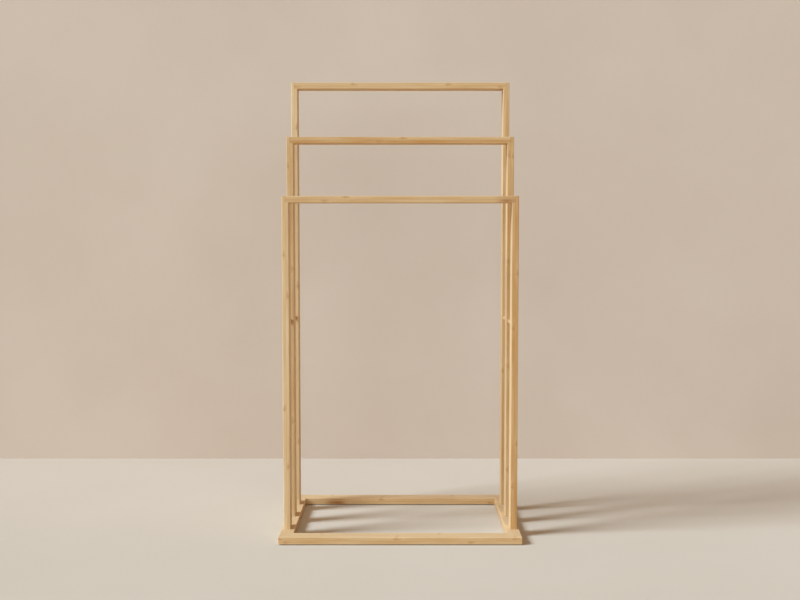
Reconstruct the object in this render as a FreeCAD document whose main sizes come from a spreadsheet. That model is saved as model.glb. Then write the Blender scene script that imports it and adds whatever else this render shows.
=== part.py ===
import FreeCAD, Part
import math
import os
import Sketcher
from types import SimpleNamespace

# Free-standing towel rack of bamboo slats: three frames that step up to the back, on a flat base.
# +Z is up, +Y points to the back, and the origin is on the floor under the middle of the base.
# Lengths are in millimetres.

LENGTHS = {
    # Frames: two posts and a towel bar each
    "frame_width": 412,
    "front_height": 600,
    "middle_height": 710,
    "back_height": 820,
    "frame_pitch": 86,
    "post_width": 12,
    "post_depth": 28,
    "bar_height": 12,
    "cheek_thickness": 6,
    # Base
    "base_overhang": 50,
    "side_margin": 4,
    "base_thickness": 12,
    "base_rail_width": 29,
    "side_rail_width": 24,
    "corner_lip": 12,
    # Rounding of the slats' edges, and the fine bevel round an end that meets another slat
    "edge_radius": 1.2,
    "end_bevel": 0.4,
    # Spacers between the posts of one side
    "spacer_diameter": 8,
    "spacer_level": 375,
    "spacer_seat": 10,
    # Dowels in the corners of the base
    "dowel_diameter": 6,
    "dowel_length": 30,
    "lip_dowel_reach": 8,
    # Countersunk screws from under the side rails into the posts
    "screw_diameter": 4,
    "screw_length": 40,
    "screw_head_diameter": 8,
    "screw_recess": 0.4,
    # Pads under the corners of the base
    "pad_diameter": 16,
    "pad_thickness": 1.5,
    # Clearances
    "side_clearance": 0.05,
    "end_clearance": 0.6,
    "overrun": 2,
}

SAME_PLACE = 1e-4
COUNTERSINK_DEGREES = 90
FULL_TURN = 360
HALF_TURN = 180
DOWEL_FLUTES = 10
ALL_CORNERS = ("lower_left", "lower_right", "upper_right", "upper_left")
UPPER_CORNERS = ("upper_right", "upper_left")


class Length:
    """A length with its number and the sheet formula that drives it."""

    def __init__(self, formula, number):
        self.formula = formula
        self.number = number

    def __add__(self, other):
        return Length(f"({self.formula} + {other.formula})", self.number + other.number)

    def __sub__(self, other):
        return Length(f"({self.formula} - {other.formula})", self.number - other.number)

    def __mul__(self, factor):
        return Length(f"({self.formula} * {factor})", self.number * factor)

    def __truediv__(self, factor):
        return Length(f"({self.formula} / {factor})", self.number / factor)

    def __neg__(self):
        return self * -1


# Sheet of driving sizes
doc = FreeCAD.newDocument("towel_rack")
sheet = doc.addObject("Spreadsheet::Sheet", "Sizes")
for row, (name, number) in enumerate(LENGTHS.items(), start=1):
    sheet.set(f"A{row}", name)
    sheet.set(f"B{row}", str(number))
    sheet.setAlias(f"B{row}", name)
doc.recompute()

ZERO = Length("0", 0)
size = SimpleNamespace(**{name: Length(f"Sizes.{name}", number) for name, number in LENGTHS.items()})

# Lengths that follow from the driving sizes
base_width = size.frame_width + size.side_margin * 2
base_depth = size.frame_pitch * 2 + size.post_depth + size.base_overhang * 2
post_foot = size.pad_thickness + size.base_thickness
bar_span = size.frame_width - size.post_width * 2
bar_tongue = size.post_width - size.cheek_thickness
side_span = base_depth - size.base_rail_width * 2
side_tongue = size.base_rail_width - size.corner_lip
post_gap = size.frame_pitch - size.post_depth
dowel_hole = size.dowel_diameter + size.side_clearance * 2
screw_hole = size.screw_diameter + size.side_clearance * 2
spacer_hole = size.spacer_diameter + size.side_clearance * 2
screw_from_side = size.side_margin + size.post_width / 2

FRAMES = {
    "front": (-size.frame_pitch, size.front_height),
    "middle": (ZERO, size.middle_height),
    "back": (size.frame_pitch, size.back_height),
}

pieces = []


# Drawing helpers


def new_piece(label):
    body = doc.addObject("PartDesign::Body", label)
    body.Label = label
    pieces.append(body)
    return body


def datum(body, role):
    return next(feature for feature in body.Origin.OriginFeatures if feature.Role == role)


def sketch_on(body, name, role, shift=(ZERO, ZERO, ZERO)):
    """A sketch on one of the body's planes, shifted along the sketch's own x, y and normal."""
    sketch = body.newObject("Sketcher::SketchObject", f"{body.Name}_{name}")
    sketch.AttachmentSupport = [(datum(body, role), "")]
    sketch.MapMode = "FlatFace"
    for axis, length in zip("xyz", shift):
        sketch.setExpression(f"AttachmentOffset.Base.{axis}", length.formula)
    return sketch


def hold(sketch, kind, geometry, vertex, length):
    """Fixes one coordinate of a vertex at a length from the sketch's origin."""
    if length is ZERO:
        axis = -2 if kind == "DistanceX" else -1
        sketch.addConstraint(Sketcher.Constraint("PointOnObject", geometry, vertex, axis))
        return
    constraint = Sketcher.Constraint(kind, -1, 1, geometry, vertex, length.number)
    number = sketch.addConstraint(constraint)
    sketch.setExpression(f"Constraints[{number}]", length.formula)


def draw_outline(sketch, points):
    """Draws a closed outline of straight lines through the points."""
    vectors = [FreeCAD.Vector(x.number, y.number, 0) for x, y in points]
    count = len(points)
    for start, end in zip(vectors, vectors[1:] + vectors[:1]):
        sketch.addGeometry(Part.LineSegment(start, end))
    for line, (x, y) in enumerate(points):
        sketch.addConstraint(Sketcher.Constraint("Coincident", line, 1, (line - 1) % count, 2))
        hold(sketch, "DistanceX", line, 1, x)
        hold(sketch, "DistanceY", line, 1, y)


def draw_box(sketch, left, right, bottom, top):
    draw_outline(sketch, [(left, bottom), (right, bottom), (right, top), (left, top)])


def draw_section(sketch, width, height, eased, radius):
    """Draws a slat's section from the origin, with the corners named in eased rounded."""
    right = FreeCAD.Vector(1, 0, 0)
    up = FreeCAD.Vector(0, 1, 0)
    runs = (right, up, -right, -up)
    wide = right * width.number
    high = up * height.number
    corners = (FreeCAD.Vector(), wide, wide + high, high)
    trims = [radius.number if corner in eased else 0 for corner in ALL_CORNERS]
    for side, run in enumerate(runs):
        after = (side + 1) % 4
        start = corners[side] + run * trims[side]
        end = corners[after] - run * trims[after]
        sketch.addGeometry(Part.LineSegment(start, end))
        sketch.addConstraint(Sketcher.Constraint("Vertical" if side % 2 else "Horizontal", side))
    first_arc = None
    for side, corner in enumerate(corners):
        before = (side - 1) % 4
        if not trims[side]:
            sketch.addConstraint(Sketcher.Constraint("Coincident", before, 2, side, 1))
            continue
        centre = corner + (runs[side] - runs[before]) * radius.number
        turn = math.pi + side * math.pi / 2
        circle = Part.Circle(centre, FreeCAD.Vector(0, 0, 1), radius.number)
        arc = sketch.addGeometry(Part.ArcOfCircle(circle, turn, turn + math.pi / 2))
        sketch.addConstraint(Sketcher.Constraint("Tangent", before, 2, arc, 1))
        sketch.addConstraint(Sketcher.Constraint("Tangent", arc, 2, side, 1))
        if first_arc is None:
            first_arc = arc
            number = sketch.addConstraint(Sketcher.Constraint("Radius", arc, radius.number))
            sketch.setExpression(f"Constraints[{number}]", radius.formula)
        else:
            sketch.addConstraint(Sketcher.Constraint("Equal", first_arc, arc))
    hold(sketch, "DistanceY", 0, 1, ZERO)
    hold(sketch, "DistanceX", 1, 1, width)
    hold(sketch, "DistanceY", 2, 1, height)
    hold(sketch, "DistanceX", 3, 1, ZERO)


def draw_circle(sketch, diameter, x=ZERO, y=ZERO):
    middle = FreeCAD.Vector(x.number, y.number, 0)
    circle = sketch.addGeometry(Part.Circle(middle, FreeCAD.Vector(0, 0, 1), diameter.number / 2))
    hold(sketch, "DistanceX", circle, 3, x)
    hold(sketch, "DistanceY", circle, 3, y)
    number = sketch.addConstraint(Sketcher.Constraint("Diameter", circle, diameter.number))
    sketch.setExpression(f"Constraints[{number}]", diameter.formula)


def draw_fluted(sketch, diameter, flutes):
    """Draws a fluted dowel's section as a polygon with a flat for each flute."""
    turns = [(flute + 1 / 2) * 2 * math.pi / flutes for flute in range(flutes)]
    radius = diameter / 2
    draw_outline(sketch, [(radius * math.cos(turn), radius * math.sin(turn)) for turn in turns])


# Feature helpers


def pad(body, sketch, length, symmetric=False):
    feature = body.newObject("PartDesign::Pad", f"{sketch.Name}_pad")
    feature.Profile = sketch
    feature.SideType = "Symmetric" if symmetric else "One side"
    feature.setExpression("Length", length.formula)
    return feature


def pocket(body, sketch, depth, along_normal=False):
    """Cuts a sketch into the body, against the sketch's normal unless along_normal is set."""
    feature = body.newObject("PartDesign::Pocket", f"{sketch.Name}_pocket")
    feature.Profile = sketch
    feature.Reversed = along_normal
    feature.setExpression("Length", depth.formula)
    return feature


def revolve(body, sketch, axis):
    feature = body.newObject("PartDesign::Revolution", f"{sketch.Name}_turned")
    feature.Profile = sketch
    feature.ReferenceAxis = (sketch, [axis])
    feature.Angle = FULL_TURN
    return feature


def mirror(body, role, originals=None):
    """Mirrors the given features, or the whole body, in one of the body's planes."""
    doc.recompute()
    feature = body.newObject("PartDesign::Mirrored", f"{body.Name}_mirrored")
    if originals:
        feature.Originals = originals
    else:
        feature.TransformMode = "Whole shape"
    feature.MirrorPlane = (datum(body, role), [""])
    body.Tip = feature
    return feature


def repeat(body, role, spacing, count, originals):
    """Repeats the given features along one of the body's axes."""
    doc.recompute()
    feature = body.newObject("PartDesign::LinearPattern", f"{body.Name}_repeated")
    feature.Originals = originals
    feature.Direction = (datum(body, role), [""])
    feature.Mode = "Spacing"
    feature.setExpression("Offset", spacing.formula)
    feature.Occurrences = count
    body.Tip = feature
    return feature


def dress(body, kind, size_name, length, names):
    """Rounds or bevels the named edges or faces of the body as it stands."""
    base = body.Tip
    feature = body.newObject(f"PartDesign::{kind}", f"{body.Name}_{kind.lower()}")
    feature.Base = (base, names)
    feature.setExpression(size_name, length.formula)
    return feature


def picked(parts, kind, wanted):
    """Names of the edges or faces whose middle point passes the test."""
    return [f"{kind}{number}" for number, part in enumerate(parts, start=1) if wanted(part.CenterOfMass)]


def same(value, length):
    return abs(value - length.number) < SAME_PLACE


def place(body, x, y, z, turned=False):
    """Puts a piece in the rack, given half a turn about the vertical where turned is set."""
    if turned:
        spin = FreeCAD.Rotation(FreeCAD.Vector(0, 0, 1), HALF_TURN)
        body.Placement = FreeCAD.Placement(FreeCAD.Vector(), spin)
    for axis, length in zip("xyz", (x, y, z)):
        body.setExpression(f"Placement.Base.{axis}", length.formula)


# Slats


def tongued_slat(body, role, width, height, span, tongue, eased, eased_on_tongue):
    """A slat with eased edges whose ends, the tongues, keep the edges inside a joint square."""
    middle = sketch_on(body, "section", role)
    draw_section(middle, width, height, eased, size.edge_radius)
    pad(body, middle, span, symmetric=True)
    end = sketch_on(body, "tongue", role, (ZERO, ZERO, span / 2))
    draw_section(end, width, height, eased_on_tongue, size.edge_radius)
    tongue_pad = pad(body, end, tongue)
    mirror(body, role, [tongue_pad])
    doc.recompute()


def towel_bar(frame):
    """A bar across the top of a frame, whose tongues rest on the posts' shoulders."""
    y, height = FRAMES[frame]
    body = new_piece(f"{frame}_towel_bar")
    tongued_slat(
        body, "YZ_Plane", size.post_depth, size.bar_height, bar_span, bar_tongue, ALL_CORNERS, UPPER_CORNERS
    )
    reach = bar_span / 2 + bar_tongue
    ends = picked(body.Tip.Shape.Faces, "Face", lambda middle: same(abs(middle.x), reach))
    dress(body, "Chamfer", "Size", size.end_bevel, ends)
    place(body, ZERO, y - size.post_depth / 2, height - size.bar_height)


def side_rail(label, turned):
    """A side of the base: it carries the posts, and its tongues lie behind the lips of the end rails."""
    body = new_piece(label)
    outer = ("upper_left",)
    width = size.side_rail_width
    tongued_slat(body, "XZ_Plane", width, size.base_thickness, side_span, side_tongue, UPPER_CORNERS, outer)
    reach = side_span / 2 + side_tongue
    ends = picked(body.Tip.Shape.Faces, "Face", lambda middle: same(abs(middle.y), reach))
    dress(body, "Chamfer", "Size", size.end_bevel, ends)
    hole = sketch_on(body, "dowel_hole", "XZ_Plane", (ZERO, ZERO, reach))
    draw_circle(hole, dowel_hole, width / 2, size.base_thickness / 2)
    depth = size.dowel_length - size.lip_dowel_reach + size.end_clearance
    mirror(body, "XZ_Plane", [pocket(body, hole, depth)])
    countersunk_holes(body)
    x = base_width / 2
    place(body, x if turned else -x, ZERO, size.pad_thickness, turned)


def countersunk_holes(body):
    """Screw holes up through a side rail, one under each post."""
    sketch = sketch_on(body, "screw_hole", "XY_Plane")
    draw_circle(sketch, screw_hole, screw_from_side, size.frame_pitch)
    doc.recompute()
    hole = body.newObject("PartDesign::Hole", f"{body.Name}_screw_hole")
    hole.Profile = sketch
    hole.Reversed = True
    hole.DepthType = "ThroughAll"
    hole.HoleCutType = "Countersink"
    hole.HoleCutCustomValues = True
    hole.HoleCutCountersinkAngle = COUNTERSINK_DEGREES
    hole.setExpression("Diameter", screw_hole.formula)
    mouth = size.screw_head_diameter + (size.screw_recess + size.side_clearance) * 2
    hole.setExpression("HoleCutDiameter", mouth.formula)
    doc.recompute()
    row = repeat(body, "Y_Axis", size.frame_pitch, len(FRAMES), [hole])
    row.Reversed = True


def end_rail(label, turned):
    """The front or back of the base: rebated ends leave a lip that covers the side rails' ends.

    The edges under the base stay square, as nobody touches them.
    """
    body = new_piece(label)
    section = sketch_on(body, "section", "YZ_Plane")
    draw_box(section, ZERO, size.base_rail_width, ZERO, size.base_thickness)
    pad(body, section, base_width, symmetric=True)
    rebate = sketch_on(body, "rebate", "XY_Plane")
    half = base_width / 2
    past_end = half + size.overrun
    past_rail = size.base_rail_width + size.overrun
    draw_box(rebate, half - size.side_rail_width, past_end, size.corner_lip, past_rail)
    cut = pocket(body, rebate, size.base_thickness + size.overrun, along_normal=True)
    mirror(body, "YZ_Plane", [cut])
    doc.recompute()

    def is_outer(middle):
        along_front = same(middle.y, ZERO)
        along_back = same(middle.y, size.base_rail_width) and same(middle.x, ZERO)
        round_end = same(abs(middle.x), half) and same(middle.y, size.corner_lip / 2)
        return (along_front or along_back or round_end) and not same(middle.z, ZERO)

    dress(body, "Fillet", "Radius", size.edge_radius, picked(body.Tip.Shape.Edges, "Edge", is_outer))
    hole = sketch_on(body, "dowel_hole", "XZ_Plane", (ZERO, ZERO, -size.corner_lip))
    draw_circle(hole, dowel_hole, half - size.side_rail_width / 2, size.base_thickness / 2)
    depth = size.lip_dowel_reach + size.end_clearance
    mirror(body, "YZ_Plane", [pocket(body, hole, depth, along_normal=True)])
    y = base_depth / 2
    place(body, ZERO, y if turned else -y, size.pad_thickness, turned)


def post(frame, side):
    """An upright: its outer half, the cheek, runs up past the end of the bar that sits on its shoulder."""
    y, height = FRAMES[frame]
    turned = side == "right"
    length = height - post_foot
    body = new_piece(f"{frame}_{side}_post")
    section = sketch_on(body, "section", "XY_Plane")
    draw_box(section, ZERO, size.post_width, ZERO, size.post_depth)
    pad(body, section, length)
    rebate = sketch_on(body, "rebate", "XZ_Plane")
    past_side = size.post_width + size.overrun
    draw_box(rebate, size.cheek_thickness, past_side, length - size.bar_height, length + size.overrun)
    pocket(body, rebate, size.post_depth + size.overrun)
    doc.recompute()

    def is_outer(middle):
        at_side = same(middle.x, ZERO) or same(middle.x, size.post_width)
        at_face = same(middle.y, ZERO) or same(middle.y, size.post_depth)
        upright = at_side and at_face
        at_top = same(middle.z, length) and not same(middle.x, size.cheek_thickness)
        return upright or at_top

    dress(body, "Fillet", "Radius", size.edge_radius, picked(body.Tip.Shape.Edges, "Edge", is_outer))
    foot_hole = sketch_on(body, "screw_hole", "XY_Plane")
    draw_circle(foot_hole, screw_hole, size.post_width / 2, size.post_depth / 2)
    bite = size.screw_length + size.screw_recess - size.base_thickness
    pocket(body, foot_hole, bite + size.end_clearance, along_normal=True)
    spacer_holes(body, faces_with_spacers(frame, turned))
    x = size.frame_width / 2
    half_depth = size.post_depth / 2
    place(body, x if turned else -x, y + half_depth if turned else y - half_depth, post_foot, turned)


def faces_with_spacers(frame, turned):
    """The post's own faces, before any half turn, that a spacer is let into."""
    faces = {"front": ["far"], "middle": ["near", "far"], "back": ["near"]}[frame]
    swapped = {"near": "far", "far": "near"}
    return [swapped[face] for face in faces] if turned else faces


def spacer_holes(body, faces):
    for face in faces:
        far = face == "far"
        shift = (ZERO, ZERO, -size.post_depth if far else ZERO)
        sketch = sketch_on(body, f"{face}_spacer_hole", "XZ_Plane", shift)
        draw_circle(sketch, spacer_hole, size.post_width / 2, size.spacer_level - post_foot)
        pocket(body, sketch, size.spacer_seat + size.end_clearance, along_normal=far)


# Rods, dowels, screws and pads


def spacer(side, label, from_frame):
    """A short rod between two posts of one side, let into both."""
    body = new_piece(f"{side}_{label}_spacer")
    sketch = sketch_on(body, "section", "XZ_Plane")
    draw_circle(sketch, size.spacer_diameter)
    pad(body, sketch, post_gap + size.spacer_seat * 2, symmetric=True)
    x = size.frame_width / 2 - size.post_width / 2
    y = FRAMES[from_frame][0] + size.frame_pitch / 2
    place(body, x if side == "right" else -x, y, size.spacer_level)


def base_dowels():
    """A fluted dowel at each corner of the base, from the lip into the side rail's end."""
    body = new_piece("base_dowels")
    across = base_width / 2 - size.side_rail_width / 2
    along = side_span / 2 + side_tongue + size.lip_dowel_reach
    sketch = sketch_on(body, "section", "XZ_Plane", (across, ZERO, -along))
    draw_fluted(sketch, size.dowel_diameter, DOWEL_FLUTES)
    pad(body, sketch, size.dowel_length)
    mirror(body, "YZ_Plane")
    mirror(body, "XZ_Plane")
    place(body, ZERO, ZERO, size.pad_thickness + size.base_thickness / 2)


def post_screws():
    """Countersunk screws, heads down, one under each post."""
    body = new_piece("post_screws")
    across = base_width / 2 - screw_from_side
    sketch = sketch_on(body, "section", "XZ_Plane", (across, ZERO, size.frame_pitch))
    head = size.screw_head_diameter / 2
    shank = size.screw_diameter / 2
    draw_outline(sketch, [
        (ZERO, ZERO),
        (head, ZERO),
        (shank, head - shank),
        (shank, size.screw_length),
        (ZERO, size.screw_length),
    ])
    turned = revolve(body, sketch, "V_Axis")
    repeat(body, "Y_Axis", size.frame_pitch, len(FRAMES), [turned])
    mirror(body, "YZ_Plane")
    place(body, ZERO, ZERO, size.pad_thickness + size.screw_recess)


def foot_pads(end):
    """Two thin round pads, under the corners at one end of the base."""
    body = new_piece(f"{end}_pads")
    across = base_width / 2 - size.side_rail_width / 2
    sketch = sketch_on(body, "section", "XY_Plane", (across, ZERO, ZERO))
    draw_circle(sketch, size.pad_diameter)
    pad(body, sketch, size.pad_thickness)
    mirror(body, "YZ_Plane")
    y = base_depth / 2 - size.base_rail_width / 2
    place(body, ZERO, y if end == "back" else -y, ZERO)


# The rack
end_rail("base_front_rail", turned=False)
end_rail("base_back_rail", turned=True)
side_rail("base_left_rail", turned=False)
side_rail("base_right_rail", turned=True)
for frame in FRAMES:
    post(frame, "left")
    post(frame, "right")
    towel_bar(frame)
for side in ("left", "right"):
    spacer(side, "front", "front")
    spacer(side, "rear", "middle")
foot_pads("front")
foot_pads("back")
base_dowels()
post_screws()
doc.recompute()

# Every feature has to be sound before a file is written
for thing in doc.Objects:
    if {"Invalid", "Error"} & set(thing.State):
        raise RuntimeError(f"{thing.Label} failed: {thing.State}")
for piece in pieces:
    if piece.Shape.isNull() or not piece.Shape.isValid():
        raise RuntimeError(f"{piece.Label} has no sound shape")

os.makedirs("parts", exist_ok=True)
for piece in pieces:
    piece.Shape.exportStep(f"parts/{piece.Label}.step")
    print(piece.Label, len(piece.Shape.Solids), round(piece.Shape.Volume, 1))
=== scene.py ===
"""Looks of the bamboo towel rack, standing on a plain floor by a plain wall.

The slats are laminated bamboo, and the rods are turned from single strips. Screws, pads and dowels are
turned bodies, repeated at the places that the frame gives them.
"""

import math

import bpy
from mathutils import Euler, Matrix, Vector


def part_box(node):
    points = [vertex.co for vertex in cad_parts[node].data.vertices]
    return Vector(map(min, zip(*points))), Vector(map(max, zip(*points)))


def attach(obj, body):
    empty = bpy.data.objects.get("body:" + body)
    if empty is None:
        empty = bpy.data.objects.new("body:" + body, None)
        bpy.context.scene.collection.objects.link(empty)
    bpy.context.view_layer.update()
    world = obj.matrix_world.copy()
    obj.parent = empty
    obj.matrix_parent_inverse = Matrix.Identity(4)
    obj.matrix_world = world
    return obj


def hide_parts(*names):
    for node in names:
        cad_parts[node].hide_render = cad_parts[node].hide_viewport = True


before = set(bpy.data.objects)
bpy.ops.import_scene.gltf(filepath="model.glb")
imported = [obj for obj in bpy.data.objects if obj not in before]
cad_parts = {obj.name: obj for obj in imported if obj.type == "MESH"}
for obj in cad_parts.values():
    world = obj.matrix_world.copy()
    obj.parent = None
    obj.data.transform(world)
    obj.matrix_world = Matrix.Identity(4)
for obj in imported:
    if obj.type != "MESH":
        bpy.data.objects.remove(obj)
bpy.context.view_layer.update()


# Measures of the frame

# Millimetres in a metre: the wood's patterns are written in millimetres, as a maker measures them.
MM_PER_M = 1000.0

# Lengths of the frame, in metres, count to a thousandth of a millimetre.
MEASURE_DIGITS = 6


def measured(length):
    """A length of the frame without the noise of its last digits."""
    return round(length, MEASURE_DIGITS)


def middle_of(node):
    """The middle of a CAD node."""
    low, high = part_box(node)
    return (low + high) / 2.0


def size_of(node):
    """The width, depth and height of a CAD node."""
    low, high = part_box(node)
    return high - low


# Every slat is as thick as a towel bar is high, and is glued up from two plies.
SLAT_THICKNESS = measured(size_of("front_towel_bar").z) * MM_PER_M
PLY_THICKNESS = SLAT_THICKNESS / 2.0
HALF_SLAT = SLAT_THICKNESS / 2.0
HALF_PLY = PLY_THICKNESS / 2.0


# Colours, signals and node trees

# The curve that turns screen values into light.
SCREEN_WHITE = 255.0
TOE_END = 0.04045
TOE_SLOPE = 12.92
CURVE_OFFSET = 0.055
CURVE_POWER = 2.4

# Noise and draws lie from 0 to 1, about this middle.
CLOUD_MIDDLE = 0.5
LUCK_MIDDLE = 0.5

# A new stop in a row of shades starts here, until it is given its place.
NEW_STOP = 0.5

# A Mix node keeps its numbers and its colours in different sockets.
MIX_SHARE = 0
MIX_NUMBERS = (2, 3)
MIX_COLOURS = (6, 7)
MIX_COLOUR_RESULT = 2

FLOAT = "NodeSocketFloat"
WHOLE = "NodeSocketInt"
VECTOR = "NodeSocketVector"
COLOUR = "NodeSocketColor"


def light_of(share):
    """The light that a share of the screen's white stands for."""
    if share <= TOE_END:
        return share / TOE_SLOPE
    return ((share + CURVE_OFFSET) / (1.0 + CURVE_OFFSET)) ** CURVE_POWER


def paint(red, green, blue):
    """A colour given as screen values from 0 to 255, as the linear colour that nodes take."""
    linear = [light_of(value / SCREEN_WHITE) for value in (red, green, blue)]
    return (*linear, 1.0)


def feed(tree, entry, value):
    """Gives a node's input a signal, another node's output, or a plain value."""
    if isinstance(value, Signal):
        value = value.socket
    if isinstance(value, bpy.types.NodeSocket):
        tree.links.new(value, entry)
    else:
        entry.default_value = value


class Signal:
    """A number that varies over a piece, as a node's output, with the arithmetic that patterns need."""

    def __init__(self, tree, socket):
        self.tree = tree
        self.socket = socket

    def worked(self, operation, *others):
        """What one Math node makes of the signal and other numbers."""
        node = self.tree.nodes.new("ShaderNodeMath")
        node.operation = operation
        for entry, value in zip(node.inputs, (self, *others)):
            feed(self.tree, entry, value)
        return Signal(self.tree, node.outputs[0])

    def __add__(self, other):
        return self.worked("ADD", other)

    def __sub__(self, other):
        return self.worked("SUBTRACT", other)

    def __mul__(self, other):
        return self.worked("MULTIPLY", other)

    def __truediv__(self, other):
        return self.worked("DIVIDE", other)

    def size(self):
        """Its distance from nought."""
        return self.worked("ABSOLUTE")

    def above(self, level):
        """1 where it is above a level, and 0 elsewhere."""
        return self.worked("GREATER_THAN", level)

    def turned_over(self):
        """1 less the signal."""
        return self.worked("MULTIPLY_ADD", -1.0, 1.0)

    def held(self):
        """The signal kept from 0 to 1."""
        node = self.tree.nodes.new("ShaderNodeClamp")
        feed(self.tree, node.inputs["Value"], self)
        return Signal(self.tree, node.outputs[0])

    def ramp(self, low, high):
        """A smooth step from 0 at low to 1 at high."""
        node = self.tree.nodes.new("ShaderNodeMapRange")
        node.interpolation_type = "SMOOTHSTEP"
        feed(self.tree, node.inputs["Value"], self)
        feed(self.tree, node.inputs["From Min"], low)
        feed(self.tree, node.inputs["From Max"], high)
        return Signal(self.tree, node.outputs[0])

    def hill(self, spread):
        """A bell that is 1 at nought and fades over the spread."""
        share = self / spread
        return (share * share * -1.0).worked("EXPONENT")

    def chosen(self, at_nought, at_one):
        """One value where the signal is 0, another where it is 1, and between them in between."""
        node = self.tree.nodes.new("ShaderNodeMix")
        feed(self.tree, node.inputs[MIX_SHARE], self)
        for place, value in zip(MIX_NUMBERS, (at_nought, at_one)):
            feed(self.tree, node.inputs[place], value)
        return Signal(self.tree, node.outputs[0])


def parts_of(tree, vector):
    """The three numbers of a vector."""
    node = tree.nodes.new("ShaderNodeSeparateXYZ")
    feed(tree, node.inputs[0], vector)
    return [Signal(tree, socket) for socket in node.outputs]


def vector_of(tree, x, y, z):
    """A vector from three numbers."""
    node = tree.nodes.new("ShaderNodeCombineXYZ")
    for entry, value in zip(node.inputs, (x, y, z)):
        feed(tree, entry, value)
    return node.outputs[0]


def cloud(tree, vector, scale=1.0, detail=2.0, roughness=0.5):
    """Soft noise from about 0.2 to 0.8, even about its middle."""
    node = tree.nodes.new("ShaderNodeTexNoise")
    feed(tree, node.inputs["Vector"], vector)
    feed(tree, node.inputs["Scale"], scale)
    feed(tree, node.inputs["Detail"], detail)
    feed(tree, node.inputs["Roughness"], roughness)
    return Signal(tree, node.outputs[0])


def cell_distance(tree, vector, scale=1.0):
    """The distance from the middle of the nearest of many scattered cells."""
    node = tree.nodes.new("ShaderNodeTexVoronoi")
    feed(tree, node.inputs["Vector"], vector)
    feed(tree, node.inputs["Scale"], scale)
    return Signal(tree, node.outputs["Distance"])


def scatter(tree, x, y, z):
    """Three unlinked numbers from 0 to 1 for each set of three whole numbers."""
    node = tree.nodes.new("ShaderNodeTexWhiteNoise")
    node.noise_dimensions = "3D"
    feed(tree, node.inputs["Vector"], vector_of(tree, x, y, z))
    return parts_of(tree, node.outputs["Color"])


def blended(tree, share, first, second, way="MIX"):
    """Two colours put together by a share of the second."""
    node = tree.nodes.new("ShaderNodeMix")
    node.data_type = "RGBA"
    node.blend_type = way
    feed(tree, node.inputs[MIX_SHARE], share)
    for place, value in zip(MIX_COLOURS, (first, second)):
        feed(tree, node.inputs[place], value)
    return node.outputs[MIX_COLOUR_RESULT]


def shades(tree, signal, stops):
    """A colour picked by a signal from a row of (place, colour) stops."""
    node = tree.nodes.new("ShaderNodeValToRGB")
    feed(tree, node.inputs[0], signal)
    row = node.color_ramp.elements
    while len(row) < len(stops):
        row.new(NEW_STOP)
    for stop, (place, colour) in zip(row, stops):
        stop.position = place
        stop.color = colour
    return node.outputs[0]


def marked(tree, signal, colour, mark):
    """A colour with a mark laid over it where a signal shows the mark.

    A mark is its own colour, and how far the wood takes that colour where the mark is strongest.
    """
    tint, share = mark
    return blended(tree, signal * share, colour, tint)


def new_tree(name, kind, entries, results):
    """An empty node tree with named entries and results, its entries as signals, and its outlet."""
    tree = bpy.data.node_groups.new(name, kind)
    for label, entry_kind in entries:
        tree.interface.new_socket(label, in_out="INPUT", socket_type=entry_kind)
    for label, result_kind in results:
        tree.interface.new_socket(label, in_out="OUTPUT", socket_type=result_kind)
    inlet = tree.nodes.new("NodeGroupInput")
    outlet = tree.nodes.new("NodeGroupOutput")
    return tree, {s.name: Signal(tree, s) for s in inlet.outputs if s.name}, outlet


def give(tree, outlet, **results):
    """Feeds a tree's results by name."""
    for label, value in results.items():
        feed(tree, outlet.inputs[label], value)


def feed_all(tree, node, entries):
    """Feeds a node's entries by name, with spaces written as underscores."""
    for label, value in entries.items():
        feed(tree, node.inputs[label.replace("_", " ")], value)


def use_group(tree, group, **entries):
    """A shader group as a node of another tree, with its entries fed by name."""
    node = tree.nodes.new("ShaderNodeGroup")
    node.node_tree = group
    feed_all(tree, node, entries)
    return node


def new_material(name):
    """A material with a Principled shader alone, its tree and that shader."""
    made = bpy.data.materials.new(name)
    made.use_nodes = True
    return made, made.node_tree, made.node_tree.nodes["Principled BSDF"]


def set_shader(shader, **constants):
    """Values that are the same all over a surface, on the shader's own sockets."""
    for label, value in constants.items():
        shader.inputs[label.replace("_", " ")].default_value = value


def add_bump(tree, shader, height, strength, distance):
    """Fine relief on a shader, from a height signal. The distance is in metres."""
    node = tree.nodes.new("ShaderNodeBump")
    node.inputs["Strength"].default_value = strength
    node.inputs["Distance"].default_value = distance
    feed(tree, node.inputs["Height"], height)
    feed(tree, shader.inputs["Normal"], node.outputs["Normal"])


# Bamboo strip

CREAM = paint(237, 222, 192)
STRAW = paint(227, 206, 168)
HONEY = paint(214, 186, 141)
CARAMEL = paint(199, 157, 102)
AMBER = paint(180, 127, 69)
BAMBOO_SHADES = [(0.0, CREAM), (0.24, STRAW), (0.56, HONEY), (0.83, CARAMEL), (1.0, AMBER)]

# A strip's tone, from 0 for pale to 1 for golden, runs over this stretch of the shades.
SHADE_START = 0.24
SHADE_STRETCH = 1.0 - SHADE_START

# How far broad bands, fine fibres and patches change the tone.
BAND_TONE = 0.75
FIBRE_TONE = 0.42
PATCH_TONE = 0.7

KNUCKLE_BROWN = paint(172, 116, 62)
BUNDLE_MARK = (paint(166, 118, 66), 0.36)
HALO_MARK = (paint(238, 216, 172), 0.22)
BAND_MARK = (KNUCKLE_BROWN, 0.27)
LENS_MARK = (KNUCKLE_BROWN, 0.34)
LINE_MARK = (paint(132, 84, 44), 0.14)

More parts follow.
